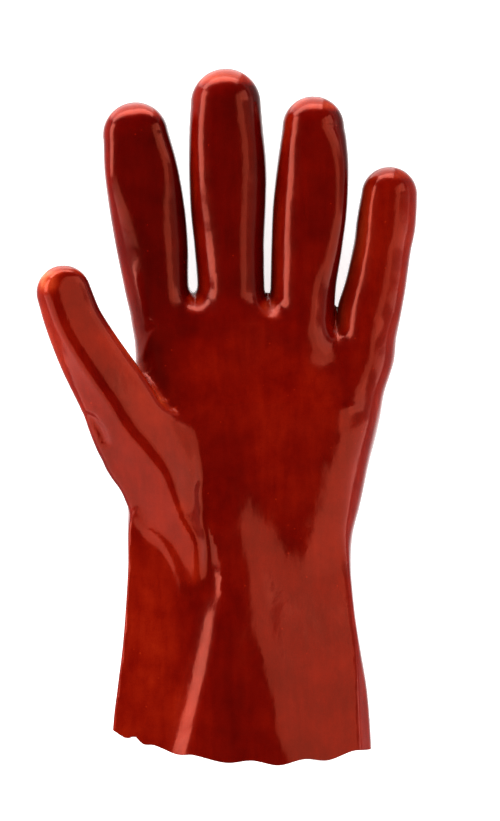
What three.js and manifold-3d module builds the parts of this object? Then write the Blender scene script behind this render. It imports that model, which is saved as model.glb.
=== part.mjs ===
// A long-cuffed, chemical-resistant work glove for the left hand: one hollow dipped shell with five
// digits and a wavy trimmed hem. It lies on its back, palm up, as such a stiff glove does by itself.
//
// Millimetres. +X runs across the palm towards the little finger, +Y along the fingers and +Z up out
// of the palm. The tables below measure "along" from the hem, "across" from the wrist's centre line
// and "height" above the surface that the glove lies on.
import * as THREE from "three";
import { mergeVertices, toCreasedNormals } from "three/addons/utils/BufferGeometryUtils.js";
import Module from "manifold-3d";

// Driving dimensions
const WALL = 1.5;
const HEM_OVERRUN = 8;
const PALM_END = { reach: 14, narrowing: 9 };

// How finely the surfaces are divided
const FRONT_SIDES = 50;
const BACK_SIDES = 22;
const BODY_STEPS = 17;
const DIGIT_SIDES = 16;
const DIGIT_STEPS = 9;
const CAP_ANGLES = [28, 54, 76];
const CREASE_ANGLE = 35;

// The wavy hem: the place across the cuff where it hangs lowest, how far it stands back at each
// edge, the power of that sweep, and the lobes that the trimming left
const HEM = {
  lowest: 15,
  leftEdge: -49.6,
  leftLift: 11,
  rightEdge: 51.3,
  rightLift: 4.2,
  sweep: 1.9,
  lobes: 14,
  lobeDepth: 0.8,
  driftLobes: 5,
  driftDepth: 0.35,
};

// The glove's main tube, from the hem up to the roots of the fingers. The first row is the hem itself.
// Its sections have one half width to the left of the ridge line and one to the right. The last two
// columns say how square the front of the section is on either side: 2 is an ellipse.
const BODY = table(
  ["along", "left", "right", "back", "front", "ridge", "leftPower", "rightPower"],
  [
    [0, -49.6, 51.3, -0.4, 64, -6, 4.8, 2.2],
    [16, -48.7, 50.4, -0.4, 62.5, -6, 4.8, 2.2],
    [28, -47.3, 49.3, -0.2, 60.5, -7, 4.8, 2.2],
    [43.5, -45.4, 46.8, 0.8, 57.5, -8, 4.8, 2.2],
    [59, -44.2, 44.6, 2.2, 54.5, -9, 4.6, 2.2],
    [75, -43.4, 43.4, 3.2, 52, -8, 4.4, 2.2],
    [87, -43.6, 44.1, 2.8, 51, -6, 3.8, 2.3],
    [98, -43.9, 46.2, 1.2, 50, -3, 3, 2.5],
    [110, -43.5, 48.9, -0.2, 49, 2, 3, 2.5],
    [122, -42.6, 50.8, -0.4, 47.5, 6, 3, 2.4],
    [133.5, -41.5, 52.7, -0.4, 46, 8, 3, 2.3],
    [145, -40.6, 54.5, -0.4, 43.6, 8, 3, 2.3],
    [157, -40.2, 56.6, -0.4, 40.2, 8, 2.8, 2.3],
    [168, -40.3, 58.8, 0.8, 36.5, 8, 2.5, 2.3],
  ],
);
const BACK_POWER = 2.7;

// The line of finger roots drops towards the little finger, but not before the palm's start
const ROOT_LINE = { from: -10, reach: 48, drop: 15, start: 105, end: 172 };

// The cuff's two flat panels. Each starts at a line on the surface, from the wrist to the hem, and
// slopes down from it to the right or to the left. Towards the palm it runs out over a fade length.
const PANELS = table(
  ["fromAcross", "fromAlong", "fromHeight", "toAcross", "toAlong", "toHeight", "side", "slope", "soft"],
  [
    [1.5, 98, 50.4, 18.5, 6, 62.3, 1, 21, 4],
    [-9.5, 80, 51.4, -19, 6, 62.6, -1, 11, 3],
  ],
);
const PANEL_FADE = { before: 6, after: 26, depth: 12 };

// Soft ridges (height over 0) and hollows (under 0) of the front, each along a path of points
// [across, along], with its own spread to the left and to the right
const FOLDS = table(
  ["leftSpread", "rightSpread", "height", "path"],
  [
    [3.6, 16, 2.4, [[-12.5, 97], [-9.5, 88.5], [-5.2, 70], [-8.5, 59.5], [-13.4, 35], [-19.5, -4]]],
    [4, 4, -1.6, [[46, 62], [47.5, 42], [49, 24]]],
    [7, 7, -1.6, [[22, 76], [34, 68]]],
    [20, 20, -4, [[2, 150], [6, 112]]],
    [14, 14, 2.2, [[50, 150], [38, 100]]],
  ],
);
const FOLD_FADE = { from: 18, to: 30 };

// Each digit, from its root inside the palm to the centre of its round tip. The last two columns say
// how square the front of the section is on either side.
const DIGIT_COLUMNS = ["along", "across", "height", "halfWidth", "halfDepth", "leftPower", "rightPower"];
const DIGITS = {
  index: table(DIGIT_COLUMNS, [
    [140, -27.5, 21.5, 11, 14.4, 2.4, 2.4],
    [163, -28.6, 20.5, 11.6, 14.8, 2.6, 2.4],
    [174, -31, 19.8, 12, 14, 2, 2.5],
    [184, -32.7, 19.4, 12.7, 13.2, 2, 2.5],
    [200, -34.4, 19.2, 14.3, 13, 2.1, 2.5],
    [215.6, -36.4, 19.8, 15, 13.2, 3.4, 2.8],
    [231, -39, 21, 14.4, 13, 3.6, 3.4],
    [243.8, -41, 22.4, 12.9, 12.4, 3, 3],
  ]),
  middle: table(DIGIT_COLUMNS, [
    [140, -1.6, 22, 13, 14, 2.3, 2.3],
    [167, -2.9, 20.4, 13.2, 14.8, 2.3, 2.3],
    [184, -3.5, 19.6, 13.3, 13.8, 2.3, 2.3],
    [200, -4.2, 19.3, 13.8, 13.4, 2.5, 2.3],
    [215.6, -4.7, 19.6, 14.9, 13.6, 2.7, 2.4],
    [231, -4.9, 20.6, 15.3, 13.6, 2.8, 2.5],
    [246.5, -5.5, 22, 14.5, 13.4, 2.6, 2.5],
    [256, -5.6, 23, 13.8, 13.1, 2.3, 2.3],
  ]),
  ring: table(DIGIT_COLUMNS, [
    [140, 23.1, 22, 12.6, 14, 2.2, 2.2],
    [167, 24.1, 20.4, 12.8, 14.6, 2.2, 2.3],
    [184, 24.8, 19.6, 13, 13.4, 2.3, 2.5],
    [200, 26.2, 19.3, 14, 13, 2.3, 3.2],
    [215.6, 27.5, 19.8, 14.6, 13.2, 2.3, 3.5],
    [231, 28.6, 20.8, 14.1, 13.1, 2.3, 3.2],
    [241, 28.9, 21.8, 13.1, 12.7, 2.2, 2.6],
    [246.8, 28.8, 22.3, 12.2, 12.2, 2.1, 2.3],
  ]),
  little: table(DIGIT_COLUMNS, [
    [132, 43.3, 21, 11, 14, 2.2, 2.2],
    [155, 47.4, 20, 12, 14, 2.2, 2.2],
    [172.6, 50.4, 18.8, 12.6, 12.6, 2.2, 2.2],
    [184.3, 53.2, 18.6, 12, 11.8, 2.2, 2.2],
    [200, 56, 19, 11.4, 11.4, 2.1, 2],
    [208, 57.3, 19.6, 11.7, 11.4, 2.1, 2],
    [215.5, 58.2, 20.2, 11.4, 11.3, 2.1, 2],
    [220.4, 58.7, 20.6, 11, 11, 2.1, 2],
  ]),
  thumb: table(DIGIT_COLUMNS, [
    [64, -18, 45.5, 2.2, 3, 2, 2],
    [69, -18.8, 47.8, 3.6, 5, 2, 2],
    [76, -19.8, 47.5, 4.8, 7, 2, 2],
    [84, -21.8, 46.4, 6.6, 9, 2, 2],
    [92, -25.6, 45.2, 10, 11.2, 2, 2],
    [101, -30.4, 44, 13.4, 13, 2, 2],
    [112, -34.8, 43, 15.8, 14.6, 2, 2],
    [128.5, -41.9, 43, 15.6, 14.5, 2, 2],
    [140.5, -48.5, 43.2, 13.9, 13.4, 2, 2],
    [157, -58.8, 44.2, 12, 12, 2, 2],
    [170, -65.5, 45, 10.6, 11.2, 2, 2],
    [181.2, -69.4, 45.8, 10.4, 10.6, 2, 2],
  ]),
};
const DIGIT_BACK_POWER = 2.2;

// The thumb's front is a low roof: two flat faces that meet in a soft ridge. The ridge is so far from
// the thumb's centre line, and so far under the top of its round section.
const ROOF = table(
  ["along", "ridge", "leftSlope", "rightSlope", "drop"],
  [
    [64, -1, 30, 12, 0],
    [76, 1, 32, 12, 0],
    [89, 4.6, 32, 16, 0.3],
    [103, 5, 32, 20, 0.8],
    [117, 2.7, 32, 22, 1.2],
    [134, -0.5, 34, 24, 1.2],
    [152, -2.6, 40, 24, 1],
    [166, -4.2, 46, 22, 0.6],
    [181.2, -5.6, 50, 20, 0],
  ],
);
const ROOF_SOFT = { ridge: 1.6, edge: 2 };

function table(columns, rows) {
  return rows.map((row) => Object.fromEntries(columns.map((name, i) => [name, row[i]])));
}

// A row at any place along a table, on a smooth curve through the rows around it.
function rowAt(rows, along) {
  const last = rows.length - 1;
  const next = rows.findIndex((row, k) => k > 0 && (k === last || row.along > along));
  const span = rows[next].along - rows[next - 1].along;
  const t = (along - rows[next - 1].along) / span;
  const slope = (k, name) => {
    const [a, b] = [rows[Math.max(k - 1, 0)], rows[Math.min(k + 1, last)]];
    return (b[name] - a[name]) / (b.along - a.along);
  };
  const value = (name) => {
    const [a, b] = [rows[next - 1][name], rows[next][name]];
    const [fromSlope, toSlope] = [slope(next - 1, name) * span, slope(next, name) * span];
    return (
      a +
      t * fromSlope +
      t ** 2 * (3 * (b - a) - 2 * fromSlope - toSlope) +
      t ** 3 * (2 * (a - b) + fromSlope + toSlope)
    );
  };
  return Object.fromEntries(Object.keys(rows[0]).map((name) => [name, value(name)]));
}

// The larger of two values, rounded over where they are within a soft range of each other.
function softMax(a, b, soft) {
  const near = Math.max(soft - Math.abs(a - b), 0) / soft;
  return Math.max(a, b) + (near ** 2 * soft) / 4;
}

// A point of a unit section between a square and an ellipse, and the direction square to it.
function sectionPoint(angle, power) {
  const [c, s] = [Math.cos(angle), Math.sin(angle)];
  const reach = (Math.abs(c) ** power + Math.abs(s) ** power) ** (-1 / power);
  const steep = (value) => Math.sign(value) * Math.abs(value * reach) ** (power - 1);
  return { x: c * reach, z: s * reach, normal: [steep(c), steep(s)] };
}

function point({ across, along, height }) {
  return new THREE.Vector3(across, along, height);
}

// How far the front stands out or in at a place, by the folds near it.
function foldRise(p) {
  const nearest = new THREE.Vector3();
  const place = new THREE.Vector3(p.x, p.y, 0);
  let rise = 0;
  for (const f of FOLDS) {
    const corners = f.path.map(([across, along]) => new THREE.Vector3(across, along, 0));
    let distance = Infinity;
    let offset = 0;
    for (let i = 0; i + 1 < corners.length; i++) {
      new THREE.Line3(corners[i], corners[i + 1]).closestPointToPoint(place, true, nearest);
      if (nearest.distanceTo(place) < distance) {
        distance = nearest.distanceTo(place);
        offset = place.x - nearest.x;
      }
    }
    const share = THREE.MathUtils.smoothstep(offset, -1, 1);
    const spread = THREE.MathUtils.lerp(f.leftSpread, f.rightSpread, share);
    rise += f.height * Math.exp(-((distance / spread) ** 2));
  }
  return rise * THREE.MathUtils.smoothstep(p.z, FOLD_FADE.from, FOLD_FADE.to);
}

// Lowers a point of the main tube to the cuff's flat panels where it stands over them.
function flattened(p, inset) {
  const result = p.clone();
  for (const f of PANELS) {
    const from = new THREE.Vector3(f.fromAcross, f.fromAlong, f.fromHeight);
    const to = new THREE.Vector3(f.toAcross, f.toAlong, f.toHeight);
    const run = from.clone().sub(to).normalize();
    const sideways = new THREE.Vector3(run.y, -run.x, 0).normalize();
    const up = new THREE.Vector3().crossVectors(sideways, run);
    const slope = THREE.MathUtils.degToRad(f.slope);
    const normal = up.multiplyScalar(Math.cos(slope)).addScaledVector(sideways, f.side * Math.sin(slope));
    const plane = new THREE.Plane().setFromNormalAndCoplanarPoint(normal, to);
    const [start, end] = [f.fromAlong - PANEL_FADE.before, f.fromAlong + PANEL_FADE.after];
    const fade = PANEL_FADE.depth * THREE.MathUtils.smoothstep(p.y, start, end);
    const over = plane.distanceToPoint(result) + inset - fade;
    result.z -= softMax(0, over, f.soft) / normal.z;
  }
  return result;
}

// How far the finger roots' line has dropped at a place on the main tube.
function rootDrop(across, along) {
  const share = THREE.MathUtils.clamp((across - ROOT_LINE.from) / ROOT_LINE.reach, 0, 1);
  return ROOT_LINE.drop * share ** 2 * THREE.MathUtils.smoothstep(along, ROOT_LINE.start, ROOT_LINE.end);
}

// Where the trimmed hem lies at an angle round the cuff; 0 is the little finger's side.
function hemAlong(angle, across) {
  const [edge, lift] = across < HEM.lowest ? [HEM.leftEdge, HEM.leftLift] : [HEM.rightEdge, HEM.rightLift];
  const share = (across - HEM.lowest) / (edge - HEM.lowest);
  const lobes = HEM.lobeDepth * (1 + Math.cos(HEM.lobes * angle));
  const drift = HEM.driftDepth * (1 + Math.sin(HEM.driftLobes * angle));
  return lift * share ** HEM.sweep + lobes + drift;
}

// One section of the main tube, drawn in by inset.
function bodyRing(row, inset, alongAt) {
  const middle = (row.front + row.back) / 2;
  const depth = (row.front - row.back) / 2 - inset;
  return Array.from({ length: FRONT_SIDES + BACK_SIDES }, (_, i) => {
    const isFront = i < FRONT_SIDES;
    const turn = isFront ? i / FRONT_SIDES : 1 + (i - FRONT_SIDES) / BACK_SIDES;
    const angle = Math.PI * turn;
    const frontPower = turn > 0.5 ? row.leftPower : row.rightPower;
    const unit = sectionPoint(angle, isFront ? frontPower : BACK_POWER);
    const reach = (unit.x < 0 ? row.ridge - row.left : row.right - row.ridge) - inset;
    const across = row.ridge + reach * unit.x;
    const along = alongAt(angle, across);
    const p = new THREE.Vector3(across, along - rootDrop(across, along), middle + depth * unit.z);
    const normal = new THREE.Vector3(unit.normal[0] / reach, 0, unit.normal[1] / depth).normalize();
    const shaped = flattened(p, inset).addScaledVector(normal, foldRise(p));
    shaped.z = Math.max(shaped.z, inset);
    return shaped;
  });
}

// The main tube as a closed solid, rounded off at the finger roots. The inner one runs out past the
// hem, to cut the cuff open.
function bodyRings(inset) {
  const mouth = inset > 0 ? () => -HEM_OVERRUN : hemAlong;
  const last = BODY[BODY.length - 1];
  const rings = [bodyRing(BODY[0], inset, mouth)];
  for (let i = 1; i <= BODY_STEPS; i++) {
    const row = rowAt(BODY, BODY[1].along + ((last.along - BODY[1].along) * (i - 1)) / (BODY_STEPS - 1));
    rings.push(bodyRing(row, inset, () => row.along));
  }
  const middle = (last.front + last.back) / 2;
  for (const degrees of CAP_ANGLES) {
    const turn = THREE.MathUtils.degToRad(degrees);
    const narrowing = PALM_END.narrowing * (1 - Math.cos(turn));
    const depth = ((last.front - last.back) / 2 - inset) * Math.cos(turn) + inset;
    const row = {
      ...last,
      left: last.left + narrowing,
      right: last.right - narrowing,
      back: middle - depth,
      front: middle + depth,
    };
    const along = last.along + (PALM_END.reach - inset) * Math.sin(turn);
    rings.push(bodyRing(row, inset, () => along));
  }
  return rings;
}

// How high the roof stands over a digit's centre line, at a distance to the right of that line.
function roofHeight(roof, halfDepth, right) {
  const away = right - roof.ridge;
  const top = halfDepth - roof.drop;
  const leftFace = top + away * Math.tan(THREE.MathUtils.degToRad(roof.leftSlope));
  const rightFace = top - away * Math.tan(THREE.MathUtils.degToRad(roof.rightSlope));
  return -softMax(-leftFace, -rightFace, ROOF_SOFT.ridge);
}

// The sections of one digit, square to its own centre line, with a round tip.
function digitRings(rows, inset, roofRows) {
  const rings = [];
  const addRing = (centre, tangent, row, shrink) => {
    const across = new THREE.Vector3(tangent.y, -tangent.x, 0).normalize();
    const up = new THREE.Vector3().crossVectors(across, tangent);
    const roof = roofRows && rowAt(roofRows, row.along);
    rings.push(
      Array.from({ length: DIGIT_SIDES }, (_, i) => {
        const angle = (2 * Math.PI * (i + 0.5)) / DIGIT_SIDES;
        const frontPower = Math.cos(angle) < 0 ? row.leftPower : row.rightPower;
        const unit = sectionPoint(angle, Math.sin(angle) < 0 ? DIGIT_BACK_POWER : frontPower);
        const right = (row.halfWidth - inset) * unit.x * shrink;
        let rise = (row.halfDepth - inset) * unit.z * shrink;
        if (roof) {
          rise = -softMax(-rise, inset - roofHeight(roof, row.halfDepth, right), ROOF_SOFT.edge);
        }
        return centre.clone().addScaledVector(across, right).addScaledVector(up, rise);
      }),
    );
  };
  const [root, tip] = [rows[0], rows[rows.length - 1]];
  let tangent;
  for (let i = 0; i <= DIGIT_STEPS; i++) {
    const row = rowAt(rows, THREE.MathUtils.lerp(root.along, tip.along, i / DIGIT_STEPS));
    const [before, after] = [-0.2, 0.2].map((step) => point(rowAt(rows, row.along + step)));
    tangent = after.sub(before).normalize();
    addRing(point(row), tangent, row, 1);
  }
  const reach = tip.halfWidth - inset;
  for (const degrees of CAP_ANGLES) {
    const turn = THREE.MathUtils.degToRad(degrees);
    addRing(point(tip).addScaledVector(tangent, reach * Math.sin(turn)), tangent, tip, Math.cos(turn));
  }
  rings.push([point(tip).addScaledVector(tangent, reach)]);
  return rings;
}

// A closed surface over a row of sections. Each end is fanned in from its middle, or ends in a point.
function loft(rings) {
  const positions = [];
  const faces = [];
  const starts = rings.map((ring) => {
    const start = positions.length / 3;
    ring.forEach((p) => positions.push(p.x, p.y, p.z));
    return start;
  });
  const sides = rings[0].length;
  for (let r = 0; r + 1 < rings.length; r++) {
    for (let i = 0; i < sides; i++) {
      const j = (i + 1) % sides;
      const [a, b] = [starts[r] + i, starts[r] + j];
      if (rings[r + 1].length === 1) {
        faces.push(a, starts[r + 1], b);
        continue;
      }
      const [c, d] = [starts[r + 1] + i, starts[r + 1] + j];
      faces.push(a, d, b, a, c, d);
    }
  }
  const closeEnd = (ring, start, facesBack) => {
    if (ring.length === 1) return;
    const middle = ring.reduce((sum, p) => sum.add(p), new THREE.Vector3()).divideScalar(sides);
    const hub = positions.length / 3;
    positions.push(middle.x, middle.y, middle.z);
    for (let i = 0; i < sides; i++) {
      const [a, b] = [start + i, start + ((i + 1) % sides)];
      faces.push(...(facesBack ? [hub, a, b] : [hub, b, a]));
    }
  };
  closeEnd(rings[0], starts[0], true);
  closeEnd(rings[rings.length - 1], starts[rings.length - 1], false);
  const geometry = new THREE.BufferGeometry();
  geometry.setAttribute("position", new THREE.Float32BufferAttribute(positions, 3));
  geometry.setIndex(faces);
  return geometry;
}

const wasm = await Module();
wasm.setup();

function solid(geometry) {
  const merged = mergeVertices(geometry, 1e-4);
  return new wasm.Manifold(
    new wasm.Mesh({
      numProp: 3,
      vertProperties: new Float32Array(merged.attributes.position.array),
      triVerts: new Uint32Array(merged.index.array),
    }),
  );
}

function geometryOf(manifold) {
  const mesh = manifold.getMesh();
  const geometry = new THREE.BufferGeometry();
  geometry.setAttribute("position", new THREE.BufferAttribute(mesh.vertProperties, 3));
  geometry.setIndex(new THREE.BufferAttribute(mesh.triVerts, 1));
  return toCreasedNormals(geometry, THREE.MathUtils.degToRad(CREASE_ANGLE));
}

// The main tube and the five digits joined, all drawn in by inset.
function hand(inset) {
  return Object.entries(DIGITS)
    .map(([name, rows]) => solid(loft(digitRings(rows, inset, name === "thumb" ? ROOF : undefined))))
    .reduce((whole, digit) => whole.add(digit), solid(loft(bodyRings(inset))));
}

const redVinyl = new THREE.MeshStandardMaterial({ color: 0x9c1408, roughness: 0.18, metalness: 0 });
const shell = new THREE.Mesh(geometryOf(hand(0).subtract(hand(WALL))), redVinyl);
shell.name = "glove_shell";

// The origin is the middle of the whole box, on the surface that the glove lies on.
const box = new THREE.Box3().setFromObject(shell);
const centre = box.getCenter(new THREE.Vector3());
const glove = new THREE.Group();
glove.add(shell);
glove.position.set(-centre.x, -centre.y, -box.min.z);

export default glove;
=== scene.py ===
"""Looks of the chemical-resistant glove: one dipped red vinyl shell with a knitted inside.

The shell is worked out as a smooth function of place, in millimetres: across the palm from the
wrist's centre line, along from the hem, and height over the floor. Its tables follow those of the
CAD model, with finer folds and creases added.
"""
import math

import bpy
import numpy as np
from mathutils import Matrix, Vector


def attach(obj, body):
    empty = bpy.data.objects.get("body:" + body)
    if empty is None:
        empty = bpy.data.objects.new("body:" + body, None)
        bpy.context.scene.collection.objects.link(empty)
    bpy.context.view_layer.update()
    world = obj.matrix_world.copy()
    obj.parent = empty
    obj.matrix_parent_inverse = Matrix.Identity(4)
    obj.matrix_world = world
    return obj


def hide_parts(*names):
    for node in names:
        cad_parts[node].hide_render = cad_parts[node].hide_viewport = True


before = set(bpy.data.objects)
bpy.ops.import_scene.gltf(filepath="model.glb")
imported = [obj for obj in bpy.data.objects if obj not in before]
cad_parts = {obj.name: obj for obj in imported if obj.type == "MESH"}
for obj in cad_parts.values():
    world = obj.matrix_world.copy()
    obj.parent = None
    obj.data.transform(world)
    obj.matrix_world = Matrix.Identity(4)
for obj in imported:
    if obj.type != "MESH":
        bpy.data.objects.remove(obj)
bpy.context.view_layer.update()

# Where the tables' zero lies in the row frame, in millimetres
ORIGIN = np.array([5.041, -134.967, 0.0])
WALL = 1.5
# The grid that the surface is found on
STEP = 1.46
GRID_LOW = np.array([-86.0, -6.0, -3.0])
GRID_HIGH = np.array([78.0, 274.0, 70.0])
# Forms further off than this count as this far off
FAR = 30.0
# Least height of the outer surface over the floor
FLOOR_GAP = 0.03
TOWARDS_FINGERS = np.array([0.0, 1.0, 0.0])

# ---- form -------------------------------------------------------------------------------------

# The trimmed hem: across, along
HEM = np.array([
    [-54, 14], [-49.7, 12.9], [-43.8, 9.5], [-40.3, 10.2], [-37.4, 7.4], [-33, 7], [-24.3, 3.8],
    [-18.4, 3.9], [-5.1, 0.8], [4.7, 1.6], [14.9, -0.2], [25, 2], [34, 1.3], [44.2, 4.7], [51, 4.5],
    [54, 6],
])
# Faces of the grid are kept down to this far under the hem, and their rim is then drawn on to it
UNDER_HEM = 0.9

# Cuff, wrist and palm: along, left, right, back, front, ridge, left power, right power
BODY = np.array([
    [-14, -50.2, 52.1, -0.4, 65.2, -6, 14, 5],
    [0, -49.6, 51.3, -0.4, 64, -6, 14, 5],
    [16, -48.7, 50.4, -0.4, 62.5, -6, 14, 5],
    [28, -47.3, 49.3, -0.2, 60.5, -7, 14, 5],
    [43.5, -45.4, 46.8, 0.8, 57.5, -8, 14, 5],
    [59, -44.2, 44.6, 2.2, 54.5, -9, 13, 4.6],
    [75, -43.4, 43.4, 3.2, 52, -8, 11, 3.8],
    [87, -43.6, 44.1, 2.8, 51, -6, 7.5, 3],
    [98, -43.9, 46.9, 1.2, 50.8, -3, 3.2, 2.6],
    [110, -43.5, 49.5, -0.2, 49, 2, 2.5, 2.6],
    [122, -42.6, 51.4, -0.4, 47.5, 6, 3, 2.9],
    [133.5, -41.5, 52.9, -0.4, 46, 8, 3, 3.3],
    [145, -40.6, 54.2, -0.4, 43.6, 8, 3, 3.4],
    [157, -40.2, 54.9, -0.4, 40.2, 8, 2.8, 3],
    [168, -40.3, 56.6, 0.8, 36.5, 8, 2.5, 2.5],
    [184, -40.3, 58.8, 0.8, 36.5, 8, 2.3, 2.3],
])
BACK_POWER = 2.7
# The palm is rounded off between the fingers, and none of it is left past its top
PALM_END = dict(start=168.0, reach=14.0, top=200)
# How far the finger roots drop towards the little finger
ROOT_LINE = dict(start=-10.0, reach=46.0, soft=0.4, drop=15.0, low=105.0, high=172.0)

# Flat faces of the cuff and wrist: a point (across, along, height), the rise per millimetre to the
# right and towards the fingers
FACES = dict(
    cuff_right=((-1, 96, 51.2), -0.324, -0.195),
    cuff_side=((45.6, 30, 49), -2.0, -0.256),
    heel=((22.5, 74.5, 47.3), -0.104, -0.018),
    wrist_right=((22.5, 74.5, 47.3), -0.362, 0.056),
    cuff_left=((-9.5, 80, 51.4), 0.174, -0.138),
)
FACE_FADE = dict(start=74, end=106, depth=12)
# How much longer the left face goes on under the thumb, and how the right face sinks at the wrist
LEFT_LATE = dict(most=22, start=18, end=34)
RIGHT_SINK = dict(start=28, end=78, depth=1.2, back_start=84, back_end=100, back=0.8)
# How softly the faces run into each other and into the round of the tube
FACE_SOFT = dict(heel=1.2, right=2.4, front=1.8, side=0.8)
LEFT_BLEND = dict(low=3, high=0.8, start=28, end=38)

# Ridges (over 0) and hollows (under 0) of the front: spread to the left, spread to the right,
# height, how far each end fades out, path of (across, along) from the hem's end up
FOLDS = [
    (6.2, 15, 3.9, 1, 22, [(-20.5, -8), (-18.2, 5), (-14.4, 21), (-10.8, 36), (-8, 50), (-6.6, 62),
                           (-6.2, 74)]),
    (3.1, 14, 2.2, 18, 11, [(-7.4, 54), (-6, 64), (-6.4, 74), (-8.4, 84), (-11.4, 92.5),
                            (-13.4, 98.5)]),
    (24, 22, -3.4, 40, 24, [(9, 86), (7, 130), (4, 172)]),
]
# The heights between which folds and marks fade in from the back to the front
FOLD_FADE = (18, 30)
# How far to each side of its path a fold changes from one spread to the other, and how far ahead
# its direction is read
FOLD_TURN = 1.5
FOLD_AHEAD = 0.5
# Small creases and dents, over the fingers and the thumb as well
MARKS = [
    (1.6, 1.6, 0.7, 4, 3, [(-39.1, 153.4), (-35.4, 163.2), (-32.1, 167.9), (-35.2, 172.2)]),
    (1.8, 1.8, -0.6, 3, 3, [(-51.4, 121), (-53.4, 127), (-56, 131), (-59.6, 136)]),
    (1.5, 1.5, 0.45, 5, 5, [(-21.5, 61.4), (-23.4, 71), (-28.4, 82.6), (-36, 91.2)]),
]

# along, across, height, half width, half depth, left power, right power
DIGITS = dict(
    index=[
        (140, -27.5, 21.5, 11, 14.4, 2.4, 2.4), (163, -28.6, 20.5, 11.6, 14.8, 2.6, 2.4),
        (174, -31, 19.8, 12, 14, 2, 2.5), (184, -32.7, 19.4, 12.7, 13.2, 1.85, 2.5),
        (200, -34.5, 19.2, 14.2, 13, 1.85, 2.5), (215.6, -36.6, 19.8, 14.8, 13.2, 2.4, 2.8),
        (231, -39, 21, 14.4, 13, 3.6, 4.2), (243.8, -41, 22.4, 12.9, 12.4, 3, 3.6)],
    middle=[
        (140, -1.6, 22, 13, 14, 2.3, 2.3), (167, -2.9, 20.4, 13.2, 14.8, 2, 2.3),
        (184, -3.5, 19.6, 13.3, 13.8, 1.8, 2.3), (200, -4.2, 19.3, 13.8, 13.4, 1.85, 2.3),
        (215.6, -4.7, 19.6, 14.9, 13.6, 2, 2.4), (231, -4.9, 20.6, 15.3, 13.6, 2.3, 2.5),
        (246.5, -5.5, 22, 14.5, 13.4, 2.4, 2.5), (256, -5.6, 23, 13.8, 13.1, 2.3, 2.3)],
    ring=[
        (140, 23.1, 22, 12.6, 14, 2.2, 2.2), (167, 24.1, 20.4, 12.8, 14.6, 1.9, 2.3),
        (184, 24.8, 19.6, 13, 13.4, 1.8, 2.5), (200, 26.2, 19.3, 14, 13, 1.8, 3.8),
        (215.6, 27.5, 19.8, 14.6, 13.2, 1.9, 4.6), (231, 28.6, 20.8, 14.1, 13.1, 2, 4.4),
        (241, 28.9, 21.8, 13.1, 12.7, 2.2, 3.2), (246.8, 28.8, 22.3, 12.2, 12.2, 2.1, 2.3)],
    little=[
        (108, 35, 15, 3, 5, 2.2, 2.2), (128, 41, 18, 8, 12, 2.2, 2.2),
        (144, 44, 19.6, 9.4, 13.6, 2.1, 2.2), (159, 48.3, 20, 11.6, 14.4, 2, 2.2),
        (172.6, 50.4, 18.8, 12.6, 12.6, 1.8, 2.2), (184.3, 53.2, 18.6, 12, 11.8, 1.75, 2.2),
        (200, 56, 19, 11.4, 11.4, 1.8, 2), (208, 57.3, 19.6, 11.7, 11.4, 1.9, 2),
        (215.5, 58.2, 20.2, 11.4, 11.3, 2.1, 2), (220.4, 58.7, 20.6, 11, 11, 2.1, 2)],
    thumb=[
        (64, -17.6, 45.5, 3, 3, 2, 2), (69, -18.2, 47.8, 4.4, 5, 2, 2.5),
        (76, -19.1, 47.5, 5.8, 7, 2, 3), (84, -21.2, 46.6, 8.2, 9.2, 2, 3.5),
        (92, -26, 45.6, 11.4, 11.6, 2, 4), (101, -29.6, 44.3, 14, 13.3, 2, 5),
        (112, -32.4, 43, 16.4, 14.6, 2, 5), (121, -37.1, 43, 17.2, 14.6, 2, 4.4),
        (128.5, -42.2, 43, 15.6, 14.5, 2, 2.5),
        (140.5, -48.2, 43.2, 14.2, 13.4, 2, 2), (157, -57.8, 44.2, 12.6, 12, 2, 2),
        (170, -64.3, 45, 11.2, 11.2, 2, 2), (181.2, -68.2, 45.8, 10.6, 10.6, 2, 2)],
)
DIGIT_BACK_POWER = 2.2
# How many sections a digit is worked out at, how far round it is looked for, and how far its root's
# end bulges inside the palm
SECTIONS = 161
DIGIT_REACH = 14
ROOT_CAP = 3.0
# How softly the fingers meet each other (by minus along), the palm (by along less across), and how
# softly the thumb meets the hand (by along)
WEB_BLEND = dict(low=0.5, high=5.5, start=-172, end=-150)
FINGER_BLEND = dict(low=10.0, high=5.0, start=92, end=112)
THUMB_BLEND = dict(low=3.0, high=5.5, start=114, end=134)

# The roof of the thumb: along, ridge, left slope, right slope, drop, softness of the ridge
ROOF = np.array([
    [64, 1.4, 30, 16, 0.2, 1], [76, 3.1, 32, 20, 0.4, 1], [84, 4.4, 32, 24, 0.5, 1],
    [91, 4.6, 32, 27, 1.4, 1.2], [103, 4.8, 32, 30, 2.8, 2], [117, 2.2, 32, 31, 3.6, 3.2],
    [134, -0.5, 34, 27, 2.4, 3.2], [152, -2.6, 40, 23, 1.2, 3.2], [166, -4.2, 46, 22, 0.6, 3.2],
    [181.2, -5.6, 50, 20, 0, 3.2],
])
ROOF_SOFT = 2.0

# How the mesh is evened out: rounds, share of the way to the neighbours' middle, longest move on to
# the surface, and the range that the slope is held in
ROUNDS = 4
EVENING = 0.6
LONGEST_MOVE = 1.5
SLOPE_RANGE = (0.5, 2)


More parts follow.
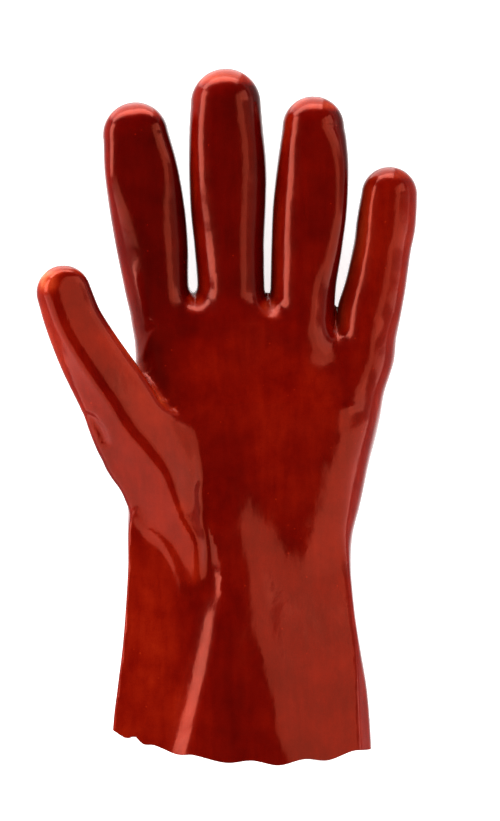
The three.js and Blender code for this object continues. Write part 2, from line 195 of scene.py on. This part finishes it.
def curve(x, knots, values):
    """Rows of values at x, on a smooth curve through the table's rows."""
    knots, values = np.asarray(knots, float), np.asarray(values, float)
    slope = np.empty_like(values)
    slope[1:-1] = (values[2:] - values[:-2]) / (knots[2:] - knots[:-2])[:, None]
    slope[0] = (values[1] - values[0]) / (knots[1] - knots[0])
    slope[-1] = (values[-1] - values[-2]) / (knots[-1] - knots[-2])
    x = np.clip(x, knots[0], knots[-1])
    i = np.clip(np.searchsorted(knots, x, side="right") - 1, 0, len(knots) - 2)
    h = (knots[i + 1] - knots[i])[:, None]
    t = (x[:, None] - knots[i][:, None]) / h
    a, b, m, n = values[i], values[i + 1], slope[i] * h, slope[i + 1] * h
    return a + t * m + t**2 * (3 * (b - a) - 2 * m - n) + t**3 * (2 * (a - b) + m + n)


def soft_min(a, b, soft):
    """The smaller of two values, rounded off where they differ by less than soft."""
    near = np.maximum(soft - np.abs(a - b), 0) / soft
    return np.minimum(a, b) - near**2 * soft / 4


def soft_max(a, b, soft):
    return -soft_min(-a, -b, soft)


def smooth(x, start, end):
    """0 up to start, 1 from end on, and a smooth rise between them."""
    t = np.clip((x - start) / (end - start), 0, 1)
    return t * t * (3 - 2 * t)


def softness(blend, place):
    """A blend's low softness up to its start, and its high one from its end on."""
    share = smooth(place, blend["start"], blend["end"])
    return blend["low"] + (blend["high"] - blend["low"]) * share


def unit(vectors):
    return vectors / np.linalg.norm(vectors, axis=1)[:, None]


def dot(a, b):
    return np.einsum("ij,ij->i", a, b)


def near_path(q, path):
    """Distance to a path seen from above."""
    path = np.asarray(path, float)
    best = np.full(len(q), np.inf)
    for a, b in zip(path[:-1], path[1:]):
        d = b - a
        t = np.clip((q - a) @ d / (d @ d), 0, 1)
        w = q - a - t[:, None] * d
        best = np.minimum(best, np.hypot(w[:, 0], w[:, 1]))
    return best


def fold_rise(p, folds):
    """How much the folds raise the front's surface."""
    rise = np.zeros(len(p))
    for left, right, height, fade_in, fade_out, path in folds:
        path = np.asarray(path, float)
        low, high = path[[0, -1], 1]
        close = np.nonzero((p[:, 1] > low) & (p[:, 1] < high))[0]
        x, y = p[close, 0], p[close, 1]
        centre, ahead = (curve(y + k, path[:, 1], path[:, :1])[:, 0] for k in (0, FOLD_AHEAD))
        offset = (x - centre) / np.hypot(1, (ahead - centre) / FOLD_AHEAD)
        spread = left + (right - left) * smooth(offset, -FOLD_TURN, FOLD_TURN)
        fade = smooth(y, low, low + fade_in) * smooth(-y, -high, -high + fade_out)
        rise[close] += height * np.exp(-((offset / spread) ** 2)) * fade
    return rise * smooth(p[:, 2], *FOLD_FADE)


def root_drop(across, along):
    """How much lower than at the thumb's side the finger roots are, at a place along the tables."""
    share = np.maximum((across - ROOT_LINE["start"]) / ROOT_LINE["reach"], 0)
    share = soft_min(share, 1.0, ROOT_LINE["soft"])
    return ROOT_LINE["drop"] * share**2 * smooth(along, ROOT_LINE["low"], ROOT_LINE["high"])


def table_along(across, along):
    """The place along the tables of a place on the glove, whose finger roots lie on a slant."""
    nominal = along.copy()
    for _ in range(3):
        nominal = along + root_drop(across, nominal)
    return nominal


def face(p, name):
    """Height over one of the flat faces, square to it."""
    point, right, up = FACES[name]
    return (p - point) @ np.array([-right, -up, 1.0]) / math.hypot(right, up, 1)


def flattened(p, f):
    """The tube with the flat faces cut into its front."""
    fade, late, dip, soft = FACE_FADE, LEFT_LATE, RIGHT_SINK, FACE_SOFT
    late_by = late["most"] * smooth(-p[:, 0], late["start"], late["end"])
    away, left_away = (fade["depth"] * smooth(y, fade["start"], fade["end"])
                       for y in (p[:, 1], p[:, 1] - late_by))
    heel = soft_max(face(p, "heel"), face(p, "wrist_right"), soft["heel"])
    sink = dip["depth"] * smooth(p[:, 1], dip["start"], dip["end"])
    sink *= 1 - dip["back"] * smooth(p[:, 1], dip["back_start"], dip["back_end"])
    right = soft_min(face(p, "cuff_right") + sink, heel, soft["right"])
    f = soft_max(f, right, soft["front"])
    f = soft_max(f, face(p, "cuff_side") - away, soft["side"])
    return soft_max(f, face(p, "cuff_left") - left_away, softness(LEFT_BLEND, -p[:, 0]))


def body(p):
    """Under 0 inside cuff, wrist and palm, and about the distance in millimetres near them."""
    x, y, z = p.T
    along = table_along(x, y)
    rows = curve(along, BODY[:, 0], BODY[:, 1:]).T
    left, right, back, front, ridge, left_power, right_power = rows
    dx = x - ridge
    a = np.where(dx < 0, ridge - left, right - ridge)
    b = (front - back) / 2
    dz = z - (front + back) / 2
    power = np.where(dz > 0, np.where(dx < 0, left_power, right_power), BACK_POWER)
    ux, uz = np.abs(dx) / a, np.abs(dz) / b
    uy = np.maximum(along - PALM_END["start"], 0) / PALM_END["reach"]
    # the tiny numbers here and in Digit keep a division by 0 away
    ud = np.sqrt(uz * uz + uy * uy) + 1e-9
    s = ux**power + ud**power + 1e-12
    lead = s ** (1 / power - 1)
    gx = lead * ux ** (power - 1) / a
    gd = lead * ud ** (power - 1)
    gz, gy = gd * uz / ud / b, gd * uy / ud / PALM_END["reach"]
    f = (s ** (1 / power) - 1) / np.sqrt(gx**2 + gz**2 + gy**2 + 1e-12)
    return flattened(p, f) - fold_rise(p, FOLDS)


class Digit:
    """A finger or the thumb: sections square to a centre line, with a round tip."""

    def __init__(self, rows, roof=None):
        rows = np.asarray(rows, float)
        self.roof = roof
        along = np.linspace(rows[0, 0], rows[-1, 0], SECTIONS)
        values = curve(along, rows[:, 0], rows[:, 1:])
        self.centre = np.stack([values[:, 0], along, values[:, 1]], 1)
        self.size = values[:, 2:]
        self.tangent = unit(np.gradient(self.centre, axis=0))
        steps = np.linalg.norm(np.diff(self.centre, axis=0), axis=1)
        self.place = np.r_[0, np.cumsum(steps)]
        self.length = self.place[-1]
        chord = self.centre[-1] - self.centre[0]
        self.chord = chord / np.linalg.norm(chord)
        self.on_chord = (self.centre - self.centre[0]) @ self.chord
        reach = self.size[:, :2].max() + DIGIT_REACH
        self.low = self.centre.min(0) - reach
        self.high = self.centre.max(0) + reach

    def at(self, s, table):
        """A table's rows at the places s on the centre line."""
        u = np.interp(s, self.place, np.arange(len(self.place)))
        i = np.clip(u.astype(int), 0, len(self.place) - 2)
        w = (u - i)[:, None]
        return table[i] * (1 - w) + table[i + 1] * w

    def __call__(self, p):
        """Under 0 inside the digit, and about the distance in millimetres near it."""
        s = np.interp((p - self.centre[0]) @ self.chord, self.on_chord, self.place)
        for _ in range(2):
            step = dot(p - self.at(s, self.centre), self.at(s, self.tangent))
            s = np.clip(s + step, 0, self.length)
        centre, tangent = self.at(s, self.centre), unit(self.at(s, self.tangent))
        sideways = unit(np.stack([tangent[:, 1], -tangent[:, 0], np.zeros(len(p))], 1))
        up = np.cross(sideways, tangent)
        d = p - centre
        ds, dx, dz = dot(d, tangent), dot(d, sideways), dot(d, up)
        a, b, left_power, right_power = self.at(s, self.size).T
        power = np.where(dz > 0, np.where(dx < 0, left_power, right_power), DIGIT_BACK_POWER)
        # past the ends of the centre line, the tip is round and the root flatter
        ds = np.where((s < 1e-6) | (s > self.length - 1e-6), ds, 0)
        cap = np.where(s > 1, a, ROOT_CAP)
        ux, uz, us = np.abs(dx) / a, np.abs(dz) / b, np.abs(ds) / cap
        q = ux**power + uz**power + 1e-12
        ring = q ** (1 / power)
        r = np.sqrt(ring**2 + us**2) + 1e-9
        lead = q ** (1 / power - 1) * ring / r
        gx, gz = lead * ux ** (power - 1) / a, lead * uz ** (power - 1) / b
        f = (r - 1) / np.sqrt(gx**2 + gz**2 + (us / r / cap) ** 2 + 1e-12)
        if self.roof is not None:
            rows = curve(centre[:, 1], self.roof[:, 0], self.roof[:, 1:]).T
            ridge, left_slope, right_slope, drop, soft = rows
            left_slope, right_slope = np.radians(left_slope), np.radians(right_slope)
            rise = dz - (b - drop)
            left_face = rise * np.cos(left_slope) - (dx - ridge) * np.sin(left_slope)
            right_face = rise * np.cos(right_slope) + (dx - ridge) * np.sin(right_slope)
            f = soft_max(f, soft_max(left_face, right_face, soft), ROOF_SOFT)
        return f


PARTS = {name: Digit(rows, ROOF if name == "thumb" else None) for name, rows in DIGITS.items()}


def surface(p):
    """Under 0 inside the glove's outer surface, and about the distance in millimetres near it."""
    tube, fingers, thumb = np.full((3, len(p)), FAR)
    low = p[:, 1] < PALM_END["top"]
    tube[low] = np.minimum(body(p[low]), FAR)
    for name, digit in PARTS.items():
        close = ((p > digit.low) & (p < digit.high)).all(1)
        if name == "thumb":
            thumb[close] = digit(p[close])
        else:
            soft = softness(WEB_BLEND, -p[close, 1])
            fingers[close] = soft_min(fingers[close], digit(p[close]), soft)
    hand = soft_min(tube, fingers, softness(FINGER_BLEND, p[:, 1] - p[:, 0]))
    glove = soft_min(hand, thumb, softness(THUMB_BLEND, p[:, 1]))
    return glove - fold_rise(p, MARKS)


def gradient(p, step=0.05):
    g = np.empty_like(p)
    for k in range(3):
        d = np.zeros(3)
        d[k] = step
        g[:, k] = (surface(p + d) - surface(p - d)) / (2 * step)
    return g


def hem_height(p):
    """Over 0 on the glove's side of the trimmed hem."""
    return p[:, 1] - curve(p[:, 0], HEM[:, 0], HEM[:, 1:])[:, 0]


def surface_net(field, low, step):
    """A quad mesh with one point in each grid cell that the surface passes through."""
    inside = field < 0
    shape = np.array(field.shape) - 1
    corners = [inside[i:i + shape[0], j:j + shape[1], k:k + shape[2]]
               for i in (0, 1) for j in (0, 1) for k in (0, 1)]
    count = sum(c.astype(np.int8) for c in corners)
    cells = np.argwhere((count > 0) & (count < 8))
    index = np.full(shape, -1)
    index[tuple(cells.T)] = np.arange(len(cells))
    total, crossings = np.zeros((len(cells), 3)), np.zeros(len(cells))
    for axis in range(3):
        others = [k for k in range(3) if k != axis]
        for u in (0, 1):
            for v in (0, 1):
                start = cells.copy()
                start[:, others[0]] += u
                start[:, others[1]] += v
                end = start.copy()
                end[:, axis] += 1
                a, b = field[tuple(start.T)], field[tuple(end.T)]
                crossed = (a < 0) != (b < 0)
                t = np.where(crossed, a / np.where(crossed, a - b, 1), 0)
                where = start.astype(float)
                where[:, axis] += t
                total += where * crossed[:, None]
                crossings += crossed
    points = low + step * total / crossings[:, None]
    quads = []
    for axis in range(3):
        u, v = [(1, 2), (2, 0), (0, 1)][axis]
        lead = [slice(1, -1)] * 3
        lead[axis] = slice(0, -1)
        tail = list(lead)
        tail[axis] = slice(1, None)
        a, b = inside[tuple(lead)], inside[tuple(tail)]
        edges = np.argwhere(a != b)
        outward = a[tuple(edges.T)]
        base = edges + 1
        base[:, axis] -= 1
        around = []
        for du, dv in ((-1, -1), (0, -1), (0, 0), (-1, 0)):
            c = base.copy()
            c[:, u] += du
            c[:, v] += dv
            around.append(index[tuple(c.T)])
        quad = np.stack(around, 1)
        quad[~outward] = quad[~outward][:, ::-1]
        quads.append(quad)
    return points, np.concatenate(quads)


def edges_of(quads):
    """Each quad's four edges in its own direction, and all edges once."""
    e = np.concatenate([quads[:, [0, 1]], quads[:, [1, 2]], quads[:, [2, 3]], quads[:, [3, 0]]])
    return e, np.unique(np.sort(e, axis=1), axis=0)


def neighbour_mean(points, pairs):
    """The middle of each point's neighbours along the edges."""
    total = np.zeros_like(points)
    count = np.bincount(pairs.ravel(), minlength=len(points))
    for k in range(3):
        total[:, k] = np.bincount(pairs[:, 0], points[pairs[:, 1], k], len(points))
        total[:, k] += np.bincount(pairs[:, 1], points[pairs[:, 0], k], len(points))
    return total / np.maximum(count, 1)[:, None]


def settle(points, pairs, fixed):
    """Evens out the points over the surface and puts them exactly on it."""
    for turn in range(ROUNDS):
        g = gradient(points)
        size = np.linalg.norm(g, axis=1)[:, None]
        n = g / np.maximum(size, 1e-6)
        if turn:
            move = neighbour_mean(points, pairs) - points
            move -= dot(move, n)[:, None] * n
            move[fixed] = 0
            points = points + EVENING * move
        for _ in range(2):
            reach = surface(points)[:, None] / np.clip(size, *SLOPE_RANGE)
            points = points - n * np.clip(reach, -LONGEST_MOVE, LONGEST_MOVE)
    return points


def ahead_on(normal):
    """The direction on the surface that leads most straight towards the fingers."""
    return unit(TOWARDS_FINGERS - normal[:, [1]] * normal)


def glove_mesh():
    """The outer and inner points, the outer normals, the outer quads and the edges of the hem."""
    size = np.ceil((GRID_HIGH - GRID_LOW) / STEP).astype(int)
    grid = np.stack(np.meshgrid(*[np.arange(n) for n in size], indexing="ij"), -1).reshape(-1, 3)
    # in eight parts, which saves memory
    field = np.concatenate([surface(GRID_LOW + STEP * part) for part in np.array_split(grid, 8)])
    points, quads = surface_net(field.reshape(size), GRID_LOW, STEP)
    # the tube is cut off under the hem
    quads = quads[(hem_height(points) > -UNDER_HEM)[quads].all(1)]
    used = np.unique(quads)
    renumber = np.full(len(points), -1)
    renumber[used] = np.arange(len(used))
    points, quads = points[used], renumber[quads]
    # an edge that no quad has in the other direction is the rim's
    directed, pairs = edges_of(quads)
    code = directed[:, 0] * len(points) + directed[:, 1]
    back = directed[:, 1] * len(points) + directed[:, 0]
    rim_edges = directed[~np.isin(code, back)]
    rim = np.unique(rim_edges)
    for _ in range(ROUNDS):
        n = unit(gradient(points[rim]))
        points[rim] -= ahead_on(n) * hem_height(points[rim])[:, None]
        points[rim] -= n * surface(points[rim])[:, None]
    points = settle(points, pairs, rim)
    normal = unit(gradient(points))
    inner = points - normal * WALL
    points[:, 2] = np.maximum(points[:, 2], FLOOR_GAP)
    inner[:, 2] = np.maximum(inner[:, 2], WALL)
    return points, inner, normal, quads, rim_edges


def make_glove(materials):
    points, inner, normal, quads, rim_edges = glove_mesh()
    count = len(points)
    start, end = rim_edges.T
    rim_quads = np.stack([end, start, start + count, end + count], 1)
    faces = np.concatenate([quads, quads[:, ::-1] + count, rim_quads])
    places = (np.concatenate([points, inner]) + ORIGIN) / 1000
    mesh = bpy.data.meshes.new("glove")
    mesh.vertices.add(len(places))
    mesh.vertices.foreach_set("co", places.astype(np.float32).ravel())
    mesh.loops.add(faces.size)
    mesh.loops.foreach_set("vertex_index", faces.astype(np.int32).ravel())
    mesh.polygons.add(len(faces))
    mesh.polygons.foreach_set("loop_start", np.arange(0, faces.size, 4, dtype=np.int32))
    # the vinyl is the first material, and the inner wall has the second
    slots = np.zeros(len(faces), np.int32)
    slots[len(quads):2 * len(quads)] = 1
    mesh.polygons.foreach_set("material_index", slots)
    mesh.polygons.foreach_set("use_smooth", np.ones(len(faces), bool))
    mesh.update(calc_edges=True)
    mesh.validate()
    for material in materials:
        mesh.materials.append(material)
    # the tone attribute carries the vinyl's lightness with its painted light and shade
    tone = mesh.attributes.new("tone", "FLOAT", "POINT")
    tone.data.foreach_set("value", np.tile(tones_with_painted_light(points, normal), 2).astype(np.float32))
    outward = -ahead_on(normal)
    loops = np.concatenate([normal[quads], -normal[quads[:, ::-1]], outward[rim_quads % count]])
    mesh.normals_split_custom_set(loops.reshape(-1, 3).astype(np.float32))
    glove = bpy.data.objects.new("dipped_glove", mesh)
    bpy.context.scene.collection.objects.link(glove)
    return glove


# ---- materials --------------------------------------------------------------------------------

# Painted light and shade in the vinyl's colour: patches lighter or darker than the rest that stand
# in for how the lamps fall.
# There are darker index, middle and ring fingers, a lighter left of the cuff that faces the left
# lamp, a darker middle of the cuff, lit bands along the thumb's crease and its wedge, and a painted
# highlight on the thumb's tip.
# Each has a path of (across, along), spread and tone. Elsewhere it is PLAIN_TONE, against which
# each path has TONE_WEIGHT.
PLAIN_TONE = 0.106
TONE_WEIGHT = 4
PAINTED_LIGHT_AND_SHADE = [
    ([(-40, 252), (-36, 205)], 15, 0.048),
    ([(-33, 196), (-31, 180)], 13, 0.058),
    ([(-6, 262), (-5, 190)], 14, 0.058),
    ([(28, 252), (26, 190)], 14, 0.075),
    ([(59, 230), (54, 175)], 12, 0.12),
    ([(-38, 70), (-40, 0)], 17, 0.16),
    ([(-12, 60), (5, 0)], 12, 0.082),
    ([(12, 145), (20, 120)], 18, 0.13),
    ([(-3, 125), (2, 80)], 10, 0.088),
    ([(-49, 163), (-38, 143), (-31, 133)], 3.4, 0.17),
    ([(-21.6, 97), (-18, 84), (-16.8, 72)], 2.6, 0.2),
    ([(-74.8, 187.5), (-73.6, 185)], 2.6, 0.34),
]
# Painted light and shade on the front, by the way the surface faces.
# Flanks that face left are painted lighter, as if lit by the left lamps. Flanks that face right are
# painted lighter on the palm, the cuff and the little finger, and painted darker between the other
# fingers, as if shaded.
# Tips and webs, which face the top lamp, get a painted highlight.
# facing is the range of how much the surface faces that way, share is what is added, as a share of
# the tone, and fingers is how much more or less of it the fingers have, by along.
# The right flank of the little finger has no less of it, by minus across. Tips have a tone of their
# own added, and the highest ones a little more.
LIT_LEFT_FLANKS = dict(facing=(0.4, 0.9), share=0.35, fingers=0.75, along=(110, 165))
RIGHT_FLANK_LIGHT_AND_SHADE = dict(facing=(0.45, 0.9), share=0.45, fingers=-0.95, along=(160, 180),
                  across=(-50, -44))
LIT_TIPS_AND_WEBS = dict(facing=(0.45, 0.66), tone=0.12, high=0.06, along=(220, 242))
# The glove's back has none of it
FRONT_FACING = (-0.25, 0.3)


def tones_with_painted_light(points, normal):
    """How light the vinyl is at each point, with light and shade painted in: the table's patches,
    painted light on tips, in webs and on the front's flanks, and painted shade on the flanks
    between the fingers that face right, which are darker."""
    total = np.full(len(points), PLAIN_TONE)
    weight = np.ones(len(points))
    for path, spread, tone in PAINTED_LIGHT_AND_SHADE:
        here = TONE_WEIGHT * np.exp(-((near_path(points[:, :2], path) / spread) ** 2))
        total += here * tone
        weight += here
    x, y = points[:, :2].T
    left = smooth(-normal[:, 0], *LIT_LEFT_FLANKS["facing"])
    right = smooth(normal[:, 0], *RIGHT_FLANK_LIGHT_AND_SHADE["facing"])
    tip = smooth(normal[:, 1], *LIT_TIPS_AND_WEBS["facing"])
    above = smooth(normal[:, 2], *FRONT_FACING)
    between = smooth(y, *RIGHT_FLANK_LIGHT_AND_SHADE["along"]) * smooth(-x, *RIGHT_FLANK_LIGHT_AND_SHADE["across"])
    lit = left * (LIT_LEFT_FLANKS["share"] + LIT_LEFT_FLANKS["fingers"] * smooth(y, *LIT_LEFT_FLANKS["along"]))
    lit = lit + right * (RIGHT_FLANK_LIGHT_AND_SHADE["share"] + RIGHT_FLANK_LIGHT_AND_SHADE["fingers"] * between)
    tip_tone = LIT_TIPS_AND_WEBS["tone"] + LIT_TIPS_AND_WEBS["high"] * smooth(y, *LIT_TIPS_AND_WEBS["along"])
    return total / weight * (1 + above * lit) + above * tip * tip_tone


class Tree:
    """Short names for making the nodes of one material. Sizes are in metres."""

    def __init__(self, name):
        self.material = bpy.data.materials.new(name)
        self.material.use_nodes = True
        self.nodes = self.material.node_tree.nodes
        self.links = self.material.node_tree.links
        self.shader = self.nodes["Principled BSDF"]
        self.place = self.nodes.new("ShaderNodeTexCoord").outputs["Object"]

    def link(self, value, socket):
        if isinstance(value, bpy.types.NodeSocket):
            self.links.new(value, socket)
        else:
            socket.default_value = value

    def look(self, **values):
        """Sets or links the shader's sockets, by names with _ for a space."""
        for name, value in values.items():
            self.link(value, self.shader.inputs[name.replace("_", " ")])

    def math(self, operation, a, b=0.0):
        node = self.nodes.new("ShaderNodeMath")
        node.operation = operation
        for value, socket in zip((a, b), node.inputs):
            self.link(value, socket)
        return node.outputs[0]

    def add(self, a, b):
        return self.math("ADD", a, b)

    def times(self, a, b):
        return self.math("MULTIPLY", a, b)

    def colour(self, *channels):
        node = self.nodes.new("ShaderNodeCombineColor")
        for value, socket in zip(channels, node.inputs):
            self.link(value, socket)
        return node.outputs[0]

    def noise(self, size, detail=2.0, stretch=(1, 1, 1), rough=0.5):
        """Noise of 0 to 1 whose waves are about the given size."""
        mapping = self.nodes.new("ShaderNodeMapping")
        mapping.inputs["Scale"].default_value = [1 / (size * k) for k in stretch]
        self.links.new(self.place, mapping.inputs["Vector"])
        node = self.nodes.new("ShaderNodeTexNoise")
        self.links.new(mapping.outputs[0], node.inputs["Vector"])
        node.inputs["Scale"].default_value = 1.0
        node.inputs["Detail"].default_value = detail
        node.inputs["Roughness"].default_value = rough
        return node.outputs["Fac"]

    def ranged(self, value, low, high, to_low, to_high):
        node = self.nodes.new("ShaderNodeMapRange")
        for item, socket in zip((value, low, high, to_low, to_high), node.inputs):
            self.link(item, socket)
        return node.outputs["Result"]

    def varied(self, noise, low, high):
        """The middle of a noise's range, spread over low to high."""
        return self.ranged(noise, 0.3, 0.7, low, high)

    def bump(self, height, distance, normal=None):
        node = self.nodes.new("ShaderNodeBump")
        node.inputs["Distance"].default_value = distance
        self.links.new(height, node.inputs["Height"])
        if normal is not None:
            self.links.new(normal, node.inputs["Normal"])
        return node.outputs["Normal"]


# Specks: how many a metre, from where to where they fade, least draw that has one, and lightness
SPECKS = dict(scale=420, fade=(0.08, 0.18), rare=0.955, tone=0.1)


def vinyl():
    t = Tree("red_vinyl")
    # the tone attribute brings the painted light and shade of flanks, tips and patches into the
    # base colour
    tone = t.nodes.new("ShaderNodeAttribute")
    tone.attribute_name = "tone"
    # cloudy and streaky variation of the dipped layer
    cloud = t.varied(t.noise(0.018, 4, rough=0.6), 0.74, 1.3)
    streak = t.varied(t.noise(0.003, 2, (1, 9, 1)), 0.9, 1.1)
    grain = t.varied(t.noise(0.0006, 2), 0.93, 1.07)
    red = t.times(t.times(t.times(tone.outputs["Fac"], cloud), streak), grain)
    # small light specks
    cells = t.nodes.new("ShaderNodeTexVoronoi")
    t.links.new(t.place, cells.inputs["Vector"])
    cells.inputs["Scale"].default_value = SPECKS["scale"]
    speck = t.ranged(cells.outputs["Distance"], *SPECKS["fade"], 1, 0)
    draw = t.nodes.new("ShaderNodeSeparateColor")
    t.links.new(cells.outputs["Color"], draw.inputs[0])
    speck = t.times(speck, t.math("GREATER_THAN", draw.outputs[0], SPECKS["rare"]))
    red = t.add(red, t.times(speck, SPECKS["tone"]))
    # the lighter it is, the more it turns to orange
    green = t.times(t.math("POWER", red, 3.0), 0.85)
    blue = t.times(t.math("POWER", red, 4.0), 0.7)
    wave = t.bump(t.noise(0.016, 1), 0.00045)
    streaks = t.bump(t.noise(0.005, 1, (1, 9, 1)), 0.00005, wave)
    ripple = t.bump(t.noise(0.005, 2, (1, 1.6, 1)), 0.00012, streaks)
    # the knit's rows telegraph faintly through the vinyl
    rows = t.bump(t.noise(0.0011, 2, (7, 1, 1)), 0.00001, ripple)
    pores = t.bump(t.noise(0.0008, 1), 0.000012, rows)
    t.look(Base_Color=t.colour(red, green, blue), Normal=pores, IOR=1.54,
           Roughness=t.varied(t.noise(0.004, 3), 0.13, 0.19), Specular_Tint=(1, 0.16, 0.08, 1))
    return t.material


# Wales and rows in radians a metre, and how far the rows lean over a wale and both drift, in metres
KNIT = dict(wales=4200.0, rows=5200.0, lean=0.00045, drift=0.004)
COTTON = (0.68, 0.63, 0.54)


def knit():
    t = Tree("cotton_knit")
    # rows of stitches round the hand and wales along it, both a little uneven
    parts = t.nodes.new("ShaderNodeSeparateXYZ")
    t.links.new(t.place, parts.inputs[0])
    x, y, z = parts.outputs
    drift = t.times(t.noise(0.012, 2), KNIT["drift"])
    wales = t.math("SINE", t.times(t.add(t.add(x, z), drift), KNIT["wales"]))
    lean = t.times(t.math("ABSOLUTE", wales), KNIT["lean"])
    rows = t.math("SINE", t.times(t.add(t.add(y, lean), drift), KNIT["rows"]))
    stitch = t.add(t.times(wales, 0.5), t.times(rows, 0.5))
    fluff = t.noise(0.0007, 3, rough=0.7)
    shade = t.times(t.ranged(stitch, -1, 1, 0.8, 1.06), t.varied(fluff, 0.9, 1.08))
    shade = t.times(shade, t.varied(t.noise(0.03, 2), 0.9, 1.04))
    fibres = t.bump(fluff, 0.00012, t.bump(stitch, 0.00022))
    t.look(Base_Color=t.colour(*(t.times(shade, part) for part in COTTON)), Normal=fibres,
           Roughness=t.varied(fluff, 0.82, 0.98), Sheen_Weight=0.25, Sheen_Roughness=0.5)
    return t.material


# ---- studio -----------------------------------------------------------------------------------

# Lit panels: centre, two half sides (across, along, height in mm), radiance, and False where gloss
# doesn't show them
LIGHTS = dict(
    left=((-560, 385, 215), (0, 250, 0), (20, 0, 115), 8),
    left_low=((-528, -180, 330), (132, -220, 0), (0, 0, 300), 2.7),
    right_high=((560, 455, 900), (0, 320, 0), (-40, 0, 250), 2.5),
    right_thumb=((590, 545, 450), (0, 190, 0), (-20, 0, 200), 3.1),
    right_low=((560, -380, 430), (0, 515, 0), (-60, 0, 425), 3.1),
    right_gap=((562, 285, 320), (0, 150, 0), (-40, 0, 318), 0.6),
    top=((-145, 555, 68), (275, 0, 0), (0, -8, 66), 7.6),
    top_low=((-145, 555, -212), (275, 0, 0), (0, -8, 208), 1.9),
    fill=((-1100, 250, 770), (0, 600, 0), (230, 0, 328), 3.5, False),
    overhead=((0, 130, 2600), (1100, 0, 0), (0, 1100, 0), 1.3, False),
)
# Brightness of the surroundings by the direction's z: the first row times the second, plus the
# third. Each row goes from one z to another and has a value at each. It makes pale walls near the
# horizon, a dim ceiling over them, and under them a pale ground that only gloss sees.
WORLD = ((-0.04, 0, 0.2, 0.7), (0.05, 0.14, 1, 0), (-0.97, -0.7, 1.2, 0.12))
# The floor: half its side in metres, colour, how much it glows and roughness
FLOOR = dict(half=6, colour=0.85, glow=0.75, rough=0.9)
# The camera in metres: where it stands, the height of the plane that its frame is measured on, the
# frame's height there, and its sensor in mm
CAMERA = dict(place=(0.00895, 0.0006, 1.6), plane=0.028, frame=0.32126, sensor=36)


def panel(name, centre, side, rise, radiance, in_gloss=True):
    """A lit rectangle that faces the glove."""
    centre = Vector((np.array(centre, float) + ORIGIN) / 1000)
    side, rise = Vector(side) / 1000, Vector(rise) / 1000
    facing = side.cross(rise)
    # a lamp shines against its own z
    if facing.dot(centre) < 0:
        side = -side
        facing = -facing
    light = bpy.data.lights.new(name, "AREA")
    light.shape = "RECTANGLE"
    light.size, light.size_y = 2 * side.length, 2 * rise.length
    light.energy = radiance * math.pi * light.size * light.size_y
    lamp = bpy.data.objects.new(name, light)
    x, z = side.normalized(), facing.normalized()
    y = z.cross(x)
    lamp.matrix_world = Matrix((x, y, z)).transposed().to_4x4()
    lamp.location = centre
    lamp.visible_camera = False
    lamp.visible_glossy = in_gloss
    bpy.context.scene.collection.objects.link(lamp)


def studio():
    for name, row in LIGHTS.items():
        panel(name, *row)
    world = bpy.data.worlds.new("studio")
    world.use_nodes = True
    nodes, links = world.node_tree.nodes, world.node_tree.links
    parts = nodes.new("ShaderNodeSeparateXYZ")
    links.new(nodes.new("ShaderNodeTexCoord").outputs["Generated"], parts.inputs[0])
    strength = nodes.new("ShaderNodeMath")
    strength.operation = "MULTIPLY_ADD"
    for row, socket in zip(WORLD, strength.inputs):
        wall = nodes.new("ShaderNodeMapRange")
        for value, item in zip(row, wall.inputs[1:5]):
            item.default_value = value
        links.new(parts.outputs["Z"], wall.inputs["Value"])
        links.new(wall.outputs["Result"], socket)
    links.new(strength.outputs[0], nodes["Background"].inputs["Strength"])
    nodes["Background"].inputs["Color"].default_value = (1, 1, 1, 1)
    bpy.context.scene.world = world
    bpy.context.scene.view_settings.view_transform = "Standard"
    mesh = bpy.data.meshes.new("floor")
    half, pale = FLOOR["half"], FLOOR["colour"]
    corners = [(-half, -half, 0), (half, -half, 0), (half, half, 0), (-half, half, 0)]
    mesh.from_pydata(corners, [], [(0, 1, 2, 3)])
    floor = bpy.data.objects.new("floor", mesh)
    t = Tree("floor")
    t.look(Base_Color=(pale, pale, pale, 1), Roughness=FLOOR["rough"],
           Emission_Color=(1, 1, 1, 1), Emission_Strength=FLOOR["glow"])
    mesh.materials.append(t.material)
    bpy.context.scene.collection.objects.link(floor)
    # gloss sees the world's ground in its place
    floor.visible_glossy = False


def camera():
    data = bpy.data.cameras.new("camera")
    data.sensor_width = CAMERA["sensor"]
    data.lens = CAMERA["sensor"] * (CAMERA["place"][2] - CAMERA["plane"]) / CAMERA["frame"]
    cam = bpy.data.objects.new("camera", data)
    cam.location = CAMERA["place"]
    bpy.context.scene.collection.objects.link(cam)
    bpy.context.scene.camera = cam


glove = make_glove([vinyl(), knit()])
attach(glove, "root")
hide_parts("glove_shell")
studio()
camera()
